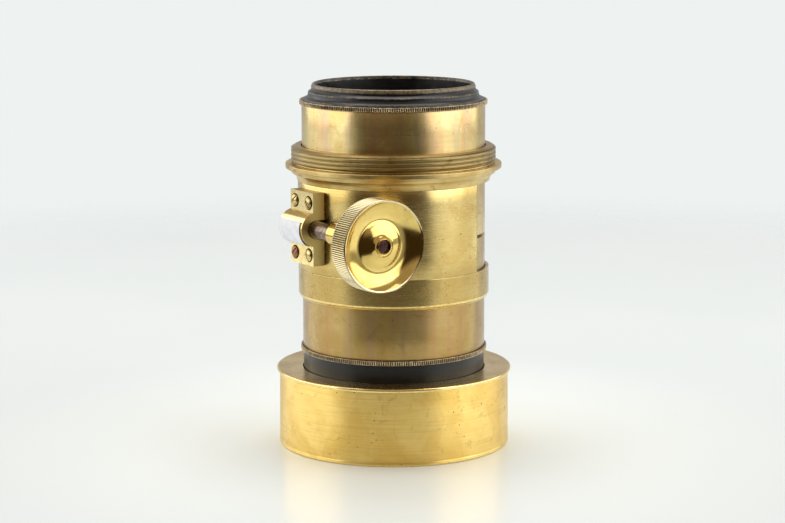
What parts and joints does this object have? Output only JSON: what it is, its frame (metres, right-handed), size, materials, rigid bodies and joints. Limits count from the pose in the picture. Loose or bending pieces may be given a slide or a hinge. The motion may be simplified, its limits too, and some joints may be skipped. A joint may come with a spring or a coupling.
{
  "type": "brass portrait lens",
  "caption": "Antique brass rack-and-pinion portrait lens for a plate camera, with threaded mounting shoulder, slot for stops and a slip-on hood.",
  "frame": {"origin": "on the optical axis, in the plane of the rear face of the shoulder that seats on the camera's flange", "axes": "+Z along the optical axis towards the camera end; +X through the window for the stops; the focusing knob points to -Y"},
  "size_m": [0.0855, 0.0846, 0.1172],
  "materials": {
    "brushed_brass": "worn lacquered brass, brushed round the axis",
    "polished_brass": "polished, small pits and stains",
    "aged_brass": "tarnished, with faint vertical colour tints",
    "black_lacquer": "black lacquer over brass, worn bare on the edges",
    "dark_steel": "darkened turned steel",
    "optical_glass": "polished, uncoated",
    "label_paper": "plain white gummed paper"
  },
  "bodies": {
    "barrel": {"barrel_jacket": "brushed_brass", "mount_collar": "brushed_brass", "barrel_end_band": "brushed_brass", "pinion_bridge": "polished_brass", "bridge_screw_1": "aged_brass", "bridge_screw_2": "aged_brass", "bridge_screw_3": "aged_brass", "bridge_screw_4": "aged_brass", "paper_label": "label_paper"},
    "pinion": {"pinion_shaft": "dark_steel", "focus_knob": "polished_brass"},
    "optics": {"inner_tube": "aged_brass", "focus_rack": "aged_brass", "front_stop_guide": "black_lacquer", "rear_stop_guide": "black_lacquer", "front_cell": "black_lacquer", "front_crown_lens": "optical_glass", "front_flint_lens": "optical_glass", "front_retaining_ring": "black_lacquer", "rear_cell": "black_lacquer", "rear_flint_lens": "optical_glass", "rear_spacer_ring": "black_lacquer", "rear_crown_lens": "optical_glass", "rear_retaining_ring": "black_lacquer"},
    "hood": {"hood_wall": "brushed_brass", "hood_plate": "brushed_brass", "hood_sleeve": "brushed_brass"}
  },
  "joints": [
    {"name": "focus", "type": "slide", "parent": "barrel", "child": "optics", "axis": [0, 0, 1], "range_m": [-0.013, 0.0155]},
    {"name": "pinion_turn", "type": "hinge", "parent": "barrel", "child": "pinion", "pos_m": [-0.0332, 0, -0.0186], "axis": [0, -1, 0], "range_deg": [-190, 225]},
    {"name": "hood_pull", "type": "slide", "parent": "optics", "child": "hood", "axis": [0, 0, -1], "range_m": [0, 0.02]}
  ],
  "couplings": [
    {"joint": "pinion_turn", "follows": "focus", "rad_per_m": 250}
  ]
}
